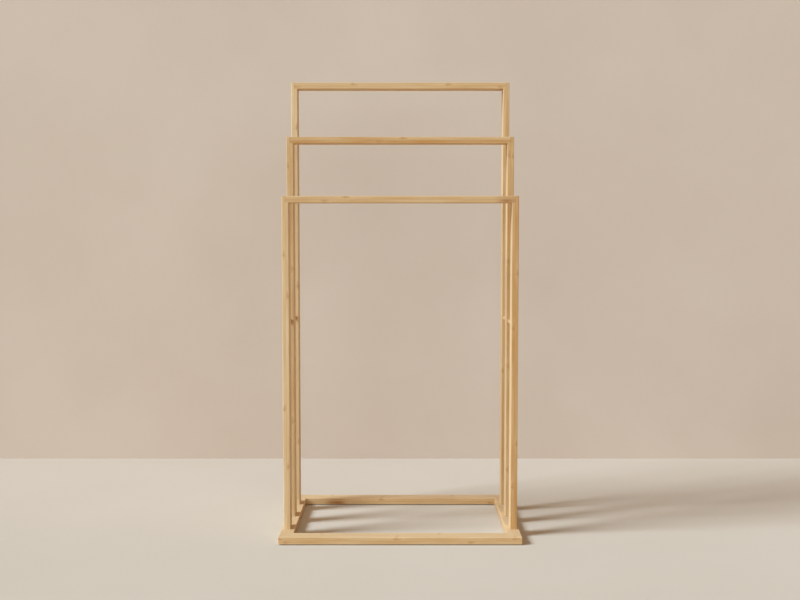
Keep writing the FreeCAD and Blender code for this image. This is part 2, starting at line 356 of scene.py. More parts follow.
# How a pattern is drawn out: its scale along the fibres, across and in depth, to the millimetre, and the
# step from one strip's pattern to the next.
WANDER = dict(along=0.012, across=0.06, depth=0.06, step=9.1)
SWIRL = dict(along=0.11, across=0.3, depth=0.3, step=4.7)
FIBRE = dict(along=0.010, across=2.2, depth=2.2, step=3.7)
BAND = dict(along=0.0035, across=0.42, depth=0.42, step=1.9)
PATCH = dict(along=0.011, across=0.05, depth=0.08, step=6.3)
BUNDLE = dict(along=0.006, across=1.05, depth=1.05, step=7.7)
RAGGED = dict(along=0.10, across=0.5, depth=0.5)
FIBRE_DETAIL = 4.0
FIBRE_CRISPNESS = 0.65

# How far fibres wander, and swerve round a knuckle, in millimetres.
WANDER_ACROSS = 2.4
WANDER_DEPTH = 1.2
SWERVE_ACROSS = 3.4
SWERVE_DEPTH = 2.4
SWERVE_REACH = 7.0

# Bundles have this reach inside the cane, grow by this much towards its skin, and fade over this edge.
BUNDLE_REACH = 0.17
BUNDLE_GROWTH = 0.13
BUNDLE_EDGE = (-0.09, 0.06)

# A knuckle's lens: the draw that shifts it on each strip, how far it shifts, how long and high it is in
# millimetres, and the edge over which it fades.
LENS_DRAW = (3.0, 5.0)
LENS_SHIFT = 2.6
LENS_REACH = 10.5
LENS_HEIGHT = 2.1
LENS_EDGE = (0.0, 1.1)

# A knuckle's line, which bows across the strip, the band beside it and the halo round it, in millimetres.
LINE_BOW = 0.012
LINE_WAVE = 0.8
LINE_EDGE = (0.10, 1.30)
BAND_PLACE = 1.6
BAND_REACH = 3.4
HALO_REACH = 15.0

# Roughness of the lacquered wood, and what fibres, bundles and lenses add to it.
WOOD_ROUGHNESS = 0.47
FIBRE_ROUGHNESS = 0.16
BUNDLE_ROUGHNESS = 0.05
LENS_ROUGHNESS = 0.06

# Shares of the fine relief.
FIBRE_RELIEF = 0.5
BUNDLE_RELIEF = 0.3
KNUCKLE_RELIEF = 0.3
LINE_RELIEF = 0.2


def drawn_out(tree, figure, along, across, depth, seed=None):
    """The place in a pattern for a place in the wood, in millimetres."""
    start = along * figure["along"]
    if seed is not None:
        start = start + seed * figure["step"]
    return vector_of(tree, start, across * figure["across"], depth * figure["depth"])


def make_bamboo_strip():
    """One strip split from a cane: fibres, darker bundles, and the marks of the cane's knuckles.

    Place is in millimetres: along the fibres, across the strip, and in depth from its middle towards the
    cane's skin. Knuckle is the distance along the strip from its nearest knuckle.
    """
    tree, entry, outlet = new_tree(
        "bamboo strip",
        "ShaderNodeTree",
        [("Place", VECTOR), ("Knuckle", FLOAT), ("Tone", FLOAT), ("Seed", FLOAT)],
        [("Colour", COLOUR), ("Roughness", FLOAT), ("Height", FLOAT), ("Bundle", FLOAT)],
    )
    along, across, depth = parts_of(tree, entry["Place"])
    seed = entry["Seed"]
    from_knuckle = entry["Knuckle"]

    # Fibres run straight, wander a little, and swerve round each knuckle.
    near_knuckle = from_knuckle.hill(SWERVE_REACH)
    wander = cloud(tree, drawn_out(tree, WANDER, along, across, depth, seed)) - CLOUD_MIDDLE
    swirl = cloud(tree, drawn_out(tree, SWIRL, from_knuckle, across, depth, seed)) - CLOUD_MIDDLE
    side = across + wander * WANDER_ACROSS + near_knuckle * swirl * SWERVE_ACROSS
    deep = depth + wander * WANDER_DEPTH - near_knuckle * swirl * SWERVE_DEPTH

    fibre_place = drawn_out(tree, FIBRE, along, side, deep, seed)
    fibre = cloud(tree, fibre_place, detail=FIBRE_DETAIL, roughness=FIBRE_CRISPNESS)
    band = cloud(tree, drawn_out(tree, BAND, along, side, deep, seed))
    patch = cloud(tree, drawn_out(tree, PATCH, along, across, depth, seed))

    # Bundles lie closer and larger towards the skin.
    skin = depth.ramp(-HALF_PLY, HALF_PLY)
    bundle_reach = skin * BUNDLE_GROWTH + BUNDLE_REACH
    from_bundle = cell_distance(tree, drawn_out(tree, BUNDLE, along, side, deep, seed))
    bundle = (from_bundle - bundle_reach).ramp(*BUNDLE_EDGE).turned_over()

    # A knuckle shows as a lens on a strip's edge, and as a fine line with a band on its face.
    luck = scatter(tree, seed.worked("ROUND"), *LENS_DRAW)
    lens_middle = (luck[0] - LUCK_MIDDLE) * LENS_SHIFT
    lens_long = from_knuckle / LENS_REACH
    lens_high = (depth - lens_middle) / LENS_HEIGHT
    ragged = cloud(tree, drawn_out(tree, RAGGED, along, side, deep)) - CLOUD_MIDDLE
    lens = (lens_long * lens_long + lens_high * lens_high + ragged).ramp(*LENS_EDGE).turned_over()
    bow = across * across * LINE_BOW
    line_place = from_knuckle + bow + swirl * LINE_WAVE
    line = line_place.size().ramp(*LINE_EDGE).turned_over()
    face_band = (line_place - BAND_PLACE).hill(BAND_REACH) * skin
    halo = from_knuckle.hill(HALO_REACH)

    tone = entry["Tone"] + (band - CLOUD_MIDDLE) * BAND_TONE
    tone = tone + (fibre - CLOUD_MIDDLE) * FIBRE_TONE
    tone = tone + (patch - CLOUD_MIDDLE) * PATCH_TONE
    colour = shades(tree, tone * SHADE_STRETCH + SHADE_START, BAMBOO_SHADES)
    colour = marked(tree, bundle, colour, BUNDLE_MARK)
    colour = marked(tree, halo, colour, HALO_MARK)
    colour = marked(tree, face_band, colour, BAND_MARK)
    colour = marked(tree, lens, colour, LENS_MARK)
    colour = marked(tree, line, colour, LINE_MARK)

    roughness = (fibre - CLOUD_MIDDLE) * FIBRE_ROUGHNESS + bundle * BUNDLE_ROUGHNESS
    roughness = roughness + lens * LENS_ROUGHNESS + WOOD_ROUGHNESS
    height = fibre * FIBRE_RELIEF - bundle * BUNDLE_RELIEF
    height = height + near_knuckle * KNUCKLE_RELIEF - line * LINE_RELIEF
    give(tree, outlet, Colour=colour, Roughness=roughness, Height=height, Bundle=bundle)
    return tree


# Laminated slat

PALE_FACE = (paint(221, 203, 171), 0.34)
GLUE_MARK = (paint(150, 104, 56), 0.5)
EASED_MARK = (STRAW, 0.22)
END_DOTS = (paint(112, 72, 38), 0.5)
END_GRAIN = paint(200, 160, 112)
END_SHARE = 0.55
DARK_STRETCH_BROWN = paint(160, 108, 56)

# Where each ply's two strips meet, in millimetres from the middle of the slat's width.
LOWER_SEAM = -1.4
UPPER_SEAM = 1.1

# Steps between the patterns of a slat's four strips, and between slats.
UPPER_STEP = 31.0
REAR_STEP = 17.0
SLAT_STEP = 7.0

# A rear strip's knuckles lie this share of their spacing past the front strip's, and its tone differs.
REAR_SHIFT = 0.3
REAR_SHIFT_RANGE = 0.4
REAR_TONE_RANGE = 0.36

# A planed face keeps this share of its ply's tone, with a little added, and is never paler than the last.
FACE_TONE_SHARE = 0.3
FACE_TONE = 0.05
LEAST_FACE_TONE = 0.10

# How near the surface a planed face, an eased edge and end grain begin, in millimetres.
FACE_EDGE = (-0.5, -0.05)
EASED_EDGE = (-1.4, -0.2)
END_EDGE = (-0.6, -0.1)

# How far from its joint a glue line fades, in millimetres.
GLUE_EDGE = (0.05, 0.20)

# A darker stretch's wavy end, in millimetres, and how much of it each ply takes.
DARK_STRETCH_FIGURE = dict(along=0.05, across=0.5, depth=0.5)
DARK_STRETCH_WAVE = 16.0
DARK_STRETCH_EDGE = (14.0, 34.0)
LOWER_DARK_STRETCH = 1.0
UPPER_DARK_STRETCH = 0.45

# What end grain, eased edges and glue lines change in roughness and relief.
END_ROUGHNESS = 0.12
EASED_SMOOTHNESS = 0.05
GLUE_ROUGHNESS = 0.06
GLUE_RELIEF = 0.5


def make_laminated_slat(strip):
    """A slat glued up from two plies of two strips each, with glue lines, eased edges and end grain.

    Place is in millimetres from the slat's middle: along, across its width, and through its thickness.
    """
    tree, entry, outlet = new_tree(
        "laminated bamboo slat",
        "ShaderNodeTree",
        [
            ("Place", VECTOR),
            ("Half Length", FLOAT),
            ("Half Width", FLOAT),
            ("Upper Knuckle", FLOAT),
            ("Upper Spacing", FLOAT),
            ("Upper Tone", FLOAT),
            ("Lower Knuckle", FLOAT),
            ("Lower Spacing", FLOAT),
            ("Lower Tone", FLOAT),
            ("Stain Place", FLOAT),
            ("Stain Share", FLOAT),
            ("Seed", FLOAT),
        ],
        [("Colour", COLOUR), ("Roughness", FLOAT), ("Height", FLOAT)],
    )
    along, across, through = parts_of(tree, entry["Place"])
    upper = through.above(0.0)
    seam = upper.chosen(LOWER_SEAM, UPPER_SEAM)
    rear = (across - seam).above(0.0)
    luck = scatter(tree, upper, rear, entry["Seed"])
    strip_seed = upper * UPPER_STEP + rear * REAR_STEP + entry["Seed"] * SLAT_STEP

    spacing = upper.chosen(entry["Lower Spacing"], entry["Upper Spacing"])
    first = upper.chosen(entry["Lower Knuckle"], entry["Upper Knuckle"])
    first = first + rear * spacing * (luck[0] * REAR_SHIFT_RANGE + REAR_SHIFT)
    steps = (along - first) / spacing
    from_knuckle = (steps - steps.worked("ROUND")) * spacing

    # The planed faces of a slat are paler than the split edges that its narrow sides show.
    from_face = through.size() - HALF_SLAT
    flat = from_face.ramp(*FACE_EDGE)
    side_tone = upper.chosen(entry["Lower Tone"], entry["Upper Tone"])
    face_tone = (side_tone * FACE_TONE_SHARE + FACE_TONE).worked("MAXIMUM", LEAST_FACE_TONE)
    tone = flat.chosen(side_tone, face_tone) + rear * (luck[1] - LUCK_MIDDLE) * REAR_TONE_RANGE
    depth = through.size() - HALF_PLY
    strip_place = vector_of(tree, along, across, depth)
    wood = use_group(tree, strip, Place=strip_place, Knuckle=from_knuckle, Tone=tone, Seed=strip_seed)
    bundle = Signal(tree, wood.outputs["Bundle"])

    ply_glue = through.size().ramp(*GLUE_EDGE).turned_over()
    seam_glue = (across - seam).size().ramp(*GLUE_EDGE).turned_over()
    glue = ply_glue.worked("MAXIMUM", seam_glue)
    eased = (across.size() - entry["Half Width"]).ramp(*EASED_EDGE) * from_face.ramp(*EASED_EDGE)
    end = (along.size() - entry["Half Length"]).ramp(*END_EDGE)

    # A darker stretch on the narrow sides of some slats, fading at a wavy end.
    dark_stretch_wave = cloud(tree, drawn_out(tree, DARK_STRETCH_FIGURE, along, across, through)) * DARK_STRETCH_WAVE
    from_dark_stretch = (along - entry["Stain Place"]).size() + dark_stretch_wave
    dark_stretch = from_dark_stretch.ramp(*DARK_STRETCH_EDGE).turned_over() * flat.turned_over()
    dark_stretch = dark_stretch * upper.chosen(LOWER_DARK_STRETCH, UPPER_DARK_STRETCH) * entry["Stain Share"]

    colour = marked(tree, flat, wood.outputs["Colour"], PALE_FACE)
    colour = blended(tree, dark_stretch, colour, DARK_STRETCH_BROWN)
    colour = marked(tree, glue, colour, GLUE_MARK)
    colour = marked(tree, eased, colour, EASED_MARK)
    end_colour = blended(tree, 1.0, colour, END_GRAIN, "MULTIPLY")
    colour = blended(tree, end * END_SHARE, colour, end_colour)
    colour = marked(tree, end * bundle, colour, END_DOTS)

    roughness = Signal(tree, wood.outputs["Roughness"]) + end * END_ROUGHNESS
    roughness = roughness - eased * EASED_SMOOTHNESS + glue * GLUE_ROUGHNESS
    height = Signal(tree, wood.outputs["Height"]) - glue * GLUE_RELIEF
    give(tree, outlet, Colour=colour, Roughness=roughness, Height=height)
    return tree


# Slats and rods of the rack

# A thin matt lacquer, and the relief of the wood under it, in metres.
LACQUER_IOR = 1.45
LACQUER_SHINE = 0.10
COAT_WEIGHT = 0.02
COAT_ROUGHNESS = 0.3
WOOD_BUMP = 0.25
WOOD_BUMP_DEPTH = 0.0001

# How a piece's own directions (along, across, through) lie in the rack: turns about X, Y and Z in degrees.
ALONG_X = (0.0, 0.0, 0.0)
ALONG_Y = (0.0, 0.0, -90.0)
ALONG_Z = (0.0, 90.0, 0.0)

# A rod's nearest knuckle lies past its end, this far from its middle, in millimetres.
ROD_KNUCKLE = 60.0

# A slat without a darker stretch.
NO_DARK_STRETCH = dict(place=0.0, share=0.0)

BAMBOO_STRIP = make_bamboo_strip()
LAMINATED_SLAT = make_laminated_slat(BAMBOO_STRIP)


def spin_of(turn):
    """A turn about X, Y and Z in degrees, as a rotation."""
    return Euler([math.radians(angle) for angle in turn])


def half_sizes(node, turn):
    """Half of a piece's length, width and thickness, in millimetres."""
    reach = spin_of(turn).to_matrix() @ size_of(node) * MM_PER_M / 2.0
    return [abs(value) for value in reach]


def piece_place(tree, node, turn):
    """A piece's own coordinates, in millimetres from its middle, with its fibres along the first one."""
    spin = spin_of(turn)
    coordinates = tree.nodes.new("ShaderNodeTexCoord")
    mapping = tree.nodes.new("ShaderNodeMapping")
    mapping.vector_type = "POINT"
    mapping.inputs["Location"].default_value = -(spin.to_matrix() @ (middle_of(node) * MM_PER_M))
    mapping.inputs["Rotation"].default_value = spin
    mapping.inputs["Scale"].default_value = (MM_PER_M, MM_PER_M, MM_PER_M)
    tree.links.new(coordinates.outputs["Object"], mapping.inputs["Vector"])
    return mapping.outputs[0]


def lacquer(node, made, shader, wood):
    """Lacquered wood for one CAD node, from the results of a wood group."""
    tree = made.node_tree
    feed(tree, shader.inputs["Base Color"], wood.outputs["Colour"])
    feed(tree, shader.inputs["Roughness"], wood.outputs["Roughness"])
    set_shader(
        shader,
        IOR=LACQUER_IOR,
        Specular_IOR_Level=LACQUER_SHINE,
        Coat_Weight=COAT_WEIGHT,
        Coat_Roughness=COAT_ROUGHNESS,
    )
    add_bump(tree, shader, wood.outputs["Height"], WOOD_BUMP, WOOD_BUMP_DEPTH)
    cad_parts[node].material_slots[0].material = made


def finish_slat(node, turn, seed, upper, lower, dark_stretch=NO_DARK_STRETCH):
    """Laminated bamboo for one slat, from its two plies.

    Each ply has a knuckle at a place along the slat, in millimetres from its middle, and more of them at
    a spacing. Its tone runs from 0 for pale to 1 for golden. A darker stretch has a place and a share too.
    """
    made, tree, shader = new_material("bamboo_slat_" + node)
    half_length, half_width = half_sizes(node, turn)[:2]
    wood = use_group(
        tree,
        LAMINATED_SLAT,
        Place=piece_place(tree, node, turn),
        Half_Length=half_length,
        Half_Width=half_width,
        Upper_Knuckle=upper["knuckle"],
        Upper_Spacing=upper["spacing"],
        Upper_Tone=upper["tone"],
        Lower_Knuckle=lower["knuckle"],
        Lower_Spacing=lower["spacing"],
        Lower_Tone=lower["tone"],
        Stain_Place=dark_stretch["place"],
        Stain_Share=dark_stretch["share"],
        Seed=seed,
    )
    lacquer(node, made, shader, wood)


def finish_rod(node, seed, tone):
    """Bamboo for one turned rod, which is cut from a single strip."""
    made, tree, shader = new_material("bamboo_rod_" + node)
    place = piece_place(tree, node, ALONG_Y)
    from_knuckle = parts_of(tree, place)[0] + ROD_KNUCKLE
    wood = use_group(tree, BAMBOO_STRIP, Place=place, Knuckle=from_knuckle, Tone=tone, Seed=seed)
    lacquer(node, made, shader, wood)


finish_slat(
    "front_towel_bar",
    ALONG_X,
    seed=1.0,
    upper=dict(knuckle=-94.0, spacing=330.0, tone=0.34),
    lower=dict(knuckle=-131.0, spacing=316.0, tone=0.36),
    dark_stretch=dict(place=187.0, share=0.55),
)
finish_slat(
    "middle_towel_bar",
    ALONG_X,
    seed=2.0,
    upper=dict(knuckle=6.0, spacing=300.0, tone=0.42),
    lower=dict(knuckle=-38.0, spacing=290.0, tone=0.62),
)
finish_slat(
    "back_towel_bar",
    ALONG_X,
    seed=3.0,
    upper=dict(knuckle=-88.0, spacing=179.0, tone=0.26),
    lower=dict(knuckle=190.0, spacing=385.0, tone=0.32),
)
finish_slat(
    "base_front_rail",
    ALONG_X,
    seed=4.0,
    upper=dict(knuckle=-6.0, spacing=204.0, tone=0.30),
    lower=dict(knuckle=-196.0, spacing=318.0, tone=0.38),
)
finish_slat(
    "base_back_rail",
    ALONG_X,
    seed=5.0,
    upper=dict(knuckle=-37.0, spacing=240.0, tone=0.36),
    lower=dict(knuckle=-122.0, spacing=300.0, tone=0.44),
    dark_stretch=dict(place=-127.0, share=0.75),
)
finish_slat(
    "base_left_rail",
    ALONG_Y,
    seed=6.0,
    upper=dict(knuckle=60.0, spacing=230.0, tone=0.40),
    lower=dict(knuckle=-40.0, spacing=250.0, tone=0.44),
)
finish_slat(
    "base_right_rail",
    ALONG_Y,
    seed=7.0,
    upper=dict(knuckle=-30.0, spacing=240.0, tone=0.40),
    lower=dict(knuckle=70.0, spacing=250.0, tone=0.46),
)
finish_slat(
    "front_left_post",
    ALONG_Z,
    seed=8.0,
    upper=dict(knuckle=192.0, spacing=270.0, tone=0.04),
    lower=dict(knuckle=120.0, spacing=300.0, tone=0.08),
)
finish_slat(
    "front_right_post",
    ALONG_Z,
    seed=9.0,
    upper=dict(knuckle=64.0, spacing=280.0, tone=0.58),
    lower=dict(knuckle=-140.0, spacing=300.0, tone=0.66),
)
finish_slat(
    "middle_left_post",
    ALONG_Z,
    seed=10.0,
    upper=dict(knuckle=37.0, spacing=260.0, tone=0.30),
    lower=dict(knuckle=110.0, spacing=280.0, tone=0.42),
)
finish_slat(
    "middle_right_post",
    ALONG_Z,
    seed=11.0,
    upper=dict(knuckle=124.0, spacing=192.0, tone=0.50),
    lower=dict(knuckle=314.0, spacing=300.0, tone=0.56),
)
finish_slat(
    "back_left_post",
    ALONG_Z,
    seed=12.0,
    upper=dict(knuckle=-90.0, spacing=270.0, tone=-0.06),
    lower=dict(knuckle=20.0, spacing=300.0, tone=0.02),
)
finish_slat(
    "back_right_post",
    ALONG_Z,
    seed=13.0,
    upper=dict(knuckle=-143.0, spacing=330.0, tone=0.36),
    lower=dict(knuckle=-20.0, spacing=270.0, tone=0.42),
)

# Painted shade and light: the left rods are darker, for the shade on their inner sides, and the right rods
# paler, for the key lamp on theirs.
finish_rod("left_front_spacer", seed=21.0, tone=0.70)
finish_rod("left_rear_spacer", seed=22.0, tone=0.70)
finish_rod("right_front_spacer", seed=23.0, tone=0.16)
finish_rod("right_rear_spacer", seed=24.0, tone=0.16)


# Turned bodies

HALF_TURN = math.pi
WHOLE_TURN = 2.0 * math.pi
NO_TURN = (0.0, 0.0, 0.0)
LYING_BACK = (HALF_TURN / 2.0, 0.0, 0.0)

# The blank that a body is turned from, and the middle of it as a share of its height.
BLANK_RADIUS = 1.0
BLANK_HEIGHT = 1.0
BODY_MIDDLE = 0.5

# A face that looks up or down less than this is on the side of a body.
SIDE_LIMIT = 0.9

# What a tree that repeats a body at the crossings of a level grid is told, besides the body's own sizes.
GRID_ENTRIES = [
    ("Width", FLOAT),
    ("Depth", FLOAT),
    ("Columns", WHOLE),
    ("Rows", WHOLE),
    ("Level", FLOAT),
    ("Finish", "NodeSocketMaterial"),
]


def grow(tree, kind, **entries):
    """A node of a shape tree with its entries fed by name."""
    node = tree.nodes.new(kind)
    feed_all(tree, node, entries)
    return node


def new_shape_tree(name, entries):
    """An empty shape tree for a body repeated on a grid, its entries as signals, and its outlet."""
    results = [("Shape", "NodeSocketGeometry")]
    return new_tree(name, "GeometryNodeTree", [*entries, *GRID_ENTRIES], results)


def place_in_body(tree):
    """The three coordinates of each point of a body."""
    return parts_of(tree, tree.nodes.new("GeometryNodeInputPosition").outputs[0])


def moved(tree, shape, place):
    """A body with each of its points put at a new place."""
    return grow(tree, "GeometryNodeSetPosition", Geometry=shape, Position=place).outputs[0]


def turned(tree, rim, rings, profile):
    """A closed body turned about Z.

    The profile gives radius and height from the share along the body and the angle round it.
    """
    blank = grow(
        tree,
        "GeometryNodeMeshCylinder",
        Vertices=rim,
        Side_Segments=rings,
        Radius=BLANK_RADIUS,
        Depth=BLANK_HEIGHT,
    )
    x, y, z = place_in_body(tree)
    radius, height = profile(z / BLANK_HEIGHT + BODY_MIDDLE, y.worked("ARCTAN2", x))
    return moved(tree, blank.outputs["Mesh"], vector_of(tree, x * radius, y * radius, height))


def smooth_sides(tree, shape):
    """Smooth shading for the faces round a turned body, with its ends left flat."""
    facing = parts_of(tree, tree.nodes.new("GeometryNodeInputNormal").outputs[0])[2]
    side = facing.size().worked("LESS_THAN", SIDE_LIMIT)
    return grow(tree, "GeometryNodeSetShadeSmooth", Geometry=shape, Selection=side).outputs[0]


def repeated(tree, shape, entry, turn):
    """A shape set at the crossings of a level grid, made one mesh and given its material."""
    grid = grow(
        tree,
        "GeometryNodeMeshGrid",
        Size_X=entry["Width"],
        Size_Y=entry["Depth"],
        Vertices_X=entry["Columns"],
        Vertices_Y=entry["Rows"],
    )
    lift = vector_of(tree, 0.0, 0.0, entry["Level"])
    raised = grow(tree, "GeometryNodeTransform", Geometry=grid.outputs["Mesh"], Translation=lift)
    points = raised.outputs[0]
    copies = grow(tree, "GeometryNodeInstanceOnPoints", Points=points, Instance=shape, Rotation=turn)
    solid = grow(tree, "GeometryNodeRealizeInstances", Geometry=copies.outputs[0])
    dressed = grow(tree, "GeometryNodeSetMaterial", Geometry=solid.outputs[0], Material=entry["Finish"])
    return dressed.outputs[0]


def grown_piece(name, tree, nodes, sizes):
    """The plain mesh that a shape tree makes, as a piece that stands for CAD nodes."""
    scratch = bpy.data.objects.new(name + "_blank", bpy.data.meshes.new(name + "_blank"))
    bpy.context.scene.collection.objects.link(scratch)
    modifier = scratch.modifiers.new("shape", "NODES")
    modifier.node_group = tree
    for socket in tree.interface.items_tree:
        if socket.in_out == "INPUT":
            modifier[socket.identifier] = sizes[socket.name]
    evaluated = scratch.evaluated_get(bpy.context.evaluated_depsgraph_get())
    mesh = bpy.data.meshes.new_from_object(evaluated)
    mesh.name = name
    bpy.data.objects.remove(scratch)
    piece = bpy.data.objects.new(name, mesh)
    bpy.context.scene.collection.objects.link(piece)
    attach(piece, "root")
    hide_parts(*nodes)


# Screw, pad and dowel

# How finely each body is turned: facets round it, and rings along it.
SCREW_FACETS = 24
SCREW_RINGS = 120
PAD_FACETS = 56
PAD_RINGS = 12
DOWEL_FACETS = 72
DOWEL_RINGS = 24

# A screw's point narrows at this slope to this share of the core, and the thread fades towards it.
POINT_SLOPE = 0.5
POINT_TIP = 0.12
POINT_THREAD = 1.4

# Half the width of the thread's foot, as a share of its pitch, and the middle of a pitch.
THREAD_FOOT = 0.3
PITCH_MIDDLE = 0.5

# How far a screw's recess narrows by its floor.
RECESS_TAPER = 0.3

# A Random Value node keeps its sockets for plain numbers at these places.
RANDOM_MOST = 3
RANDOM_RESULT = 1

# Flutes follow a wave from 0 to 1, which is this far about its middle.
FLUTE_WAVE = 0.5

# A dowel's chamfer runs over a third of its radius, and takes off this share of it.
CHAMFER_STEEPNESS = 3.0
CHAMFER_SHARE = 0.22


def make_screw_tree():
    """A countersunk wood screw, head down, with a cross recess, a plain neck, a thread and a point."""
    tree, entry, outlet = new_shape_tree(
        "countersunk screw",
        [
            ("Length", FLOAT),
            ("Head Radius", FLOAT),
            ("Core Radius", FLOAT),
            ("Thread Radius", FLOAT),
            ("Pitch", FLOAT),
            ("Neck", FLOAT),
            ("Recess Width", FLOAT),
            ("Recess Slot", FLOAT),
            ("Recess Depth", FLOAT),
            ("Seed", WHOLE),
        ],
    )

    def profile(share, angle):
        height = share * entry["Length"]
        point = (entry["Length"] - height) * POINT_SLOPE + entry["Core Radius"] * POINT_TIP
        body = (entry["Head Radius"] - height).worked("MAXIMUM", entry["Core Radius"])
        body = body.worked("MINIMUM", point)
        turn = (height / entry["Pitch"] - angle / WHOLE_TURN).worked("FRACT")
        ridge = ((turn - PITCH_MIDDLE).size() / THREAD_FOOT).turned_over().held()
        started = ((height - entry["Neck"]) / entry["Pitch"]).held()
        crest = ridge * started * (entry["Thread Radius"] - entry["Core Radius"])
        tapered = (point * POINT_THREAD / entry["Core Radius"]).held()
        return body + crest * tapered, height

    body = smooth_sides(tree, turned(tree, SCREW_FACETS, SCREW_RINGS, profile))
    cut = grow(tree, "GeometryNodeMeshBoolean", Mesh_1=body)
    cut.operation = "DIFFERENCE"
    cut.solver = "EXACT"
    # Half of each blade of the cross is outside the head, so it is twice as high as the recess is deep.
    blade_height = entry["Recess Depth"] * 2.0
    for wide, deep in (("Recess Width", "Recess Slot"), ("Recess Slot", "Recess Width")):
        block = vector_of(tree, entry[wide], entry[deep], blade_height)
        blade = grow(tree, "GeometryNodeMeshCube", Size=block).outputs["Mesh"]
        x, y, z = place_in_body(tree)
        narrowing = (z / entry["Recess Depth"] * RECESS_TAPER).turned_over()
        tapered = vector_of(tree, x * narrowing, y * narrowing, z)
        tree.links.new(moved(tree, blade, tapered), cut.inputs["Mesh 2"])
    spin = tree.nodes.new("FunctionNodeRandomValue")
    spin.inputs[RANDOM_MOST].default_value = HALF_TURN
    feed(tree, spin.inputs["Seed"], entry["Seed"])
    turn = vector_of(tree, 0.0, 0.0, spin.outputs[RANDOM_RESULT])
    give(tree, outlet, Shape=repeated(tree, cut.outputs["Mesh"], entry, turn))
    return tree


def make_pad_tree():
    """A round self-adhesive pad with a rounded lower rim."""
    tree, entry, outlet = new_shape_tree(
        "non-slip pad", [("Radius", FLOAT), ("Thickness", FLOAT), ("Rim", FLOAT)]
    )

    def profile(share, angle):
        height = share * entry["Thickness"]
        below = (height / entry["Rim"]).held().turned_over()
        inset = (below * below).turned_over().worked("SQRT").turned_over()
        return entry["Radius"] - inset * entry["Rim"], height

    shape = smooth_sides(tree, turned(tree, PAD_FACETS, PAD_RINGS, profile))
    give(tree, outlet, Shape=repeated(tree, shape, entry, NO_TURN))
    return tree


def make_dowel_tree():
    """A dowel with straight flutes and chamfered ends, lying front to back."""
    tree, entry, outlet = new_shape_tree(
        "fluted dowel", [("Radius", FLOAT), ("Length", FLOAT), ("Flutes", FLOAT), ("Flute Depth", FLOAT)]
    )

    def profile(share, angle):
        height = (share - BODY_MIDDLE) * entry["Length"]
        groove = (angle * entry["Flutes"]).worked("COSINE") * FLUTE_WAVE + FLUTE_WAVE
        from_end = (height.size() - entry["Length"] / 2.0) * -1.0
        slope = (from_end / entry["Radius"] * CHAMFER_STEEPNESS).held().turned_over()
        chamfer = slope * entry["Radius"] * CHAMFER_SHARE
        return entry["Radius"] - (groove * groove * entry["Flute Depth"]) - chamfer, height

    shape = smooth_sides(tree, turned(tree, DOWEL_FACETS, DOWEL_RINGS, profile))
    give(tree, outlet, Shape=repeated(tree, shape, entry, LYING_BACK))
    return tree


# Finishes of the fittings

# Patterns are scaled to the millimetre, and reliefs are in metres.
ZINC_SHADES = [(0.3, paint(172, 170, 164)), (0.7, paint(214, 212, 204))]
ZINC_PATCH_SCALE = 0.6
ZINC_PATCH_SHARE = 0.7
ZINC_MARK_SCALE = 9.0
ZINC_MARK_SHARE = 0.3
ZINC_ROUGHNESS = 0.16
ZINC_PATCH_ROUGHNESS = 0.25
ZINC_MARK_ROUGHNESS = 0.12
ZINC_BUMP = 0.12
ZINC_BUMP_DEPTH = 0.00005

RUBBER_SHADES = [(0.2, paint(44, 41, 38)), (0.8, paint(72, 67, 62))]
RUBBER_CELL_SCALE = 2.2
RUBBER_CELL_SHARE = 0.5
RUBBER_DUST_SCALE = 0.35
RUBBER_DUST_SHARE = 0.5
RUBBER_ROUGHNESS = 0.72
RUBBER_DUST_ROUGHNESS = 0.2
RUBBER_SHINE = 0.35
RUBBER_BUMP = 0.5
RUBBER_BUMP_DEPTH = 0.0002

DOWEL_SHADES = [(0.3, paint(196, 160, 116)), (0.7, paint(224, 194, 152))]
DOWEL_STREAK = dict(along=0.05, across=1.8, depth=1.8)
DOWEL_PORE = dict(along=0.4, across=3.0, depth=3.0)
PORE_EDGE = (0.1, 0.35)
PORE_MARK = (paint(150, 108, 70), 0.4)
DOWEL_ROUGHNESS = 0.62
STREAK_ROUGHNESS = 0.2
DOWEL_BUMP = 0.3
DOWEL_BUMP_DEPTH = 0.0001

# Patches, dust and streaks have this much detail.
PATCH_DETAIL = 3.0
PATCH_CRISPNESS = 0.6


def object_place(tree, scale):
    """Object coordinates, scaled from metres."""
    coordinates = tree.nodes.new("ShaderNodeTexCoord")
    mapping = tree.nodes.new("ShaderNodeMapping")
    mapping.inputs["Scale"].default_value = (scale, scale, scale)
    tree.links.new(coordinates.outputs["Object"], mapping.inputs["Vector"])
    return mapping.outputs[0]


def zinc_steel():
    """Zinc plated steel with faint turning marks and a patchy shine."""
    made, tree, shader = new_material("zinc_plated_steel")
    place = object_place(tree, MM_PER_M)
    patch = cloud(tree, place, ZINC_PATCH_SCALE, PATCH_DETAIL, PATCH_CRISPNESS)
    marks = cloud(tree, place, ZINC_MARK_SCALE)
    tone = patch * ZINC_PATCH_SHARE + marks * ZINC_MARK_SHARE
    roughness = patch * ZINC_PATCH_ROUGHNESS + marks * ZINC_MARK_ROUGHNESS + ZINC_ROUGHNESS
    feed(tree, shader.inputs["Base Color"], shades(tree, tone, ZINC_SHADES))
    feed(tree, shader.inputs["Roughness"], roughness)
    set_shader(shader, Metallic=1.0)
    add_bump(tree, shader, marks, ZINC_BUMP, ZINC_BUMP_DEPTH)
    return made


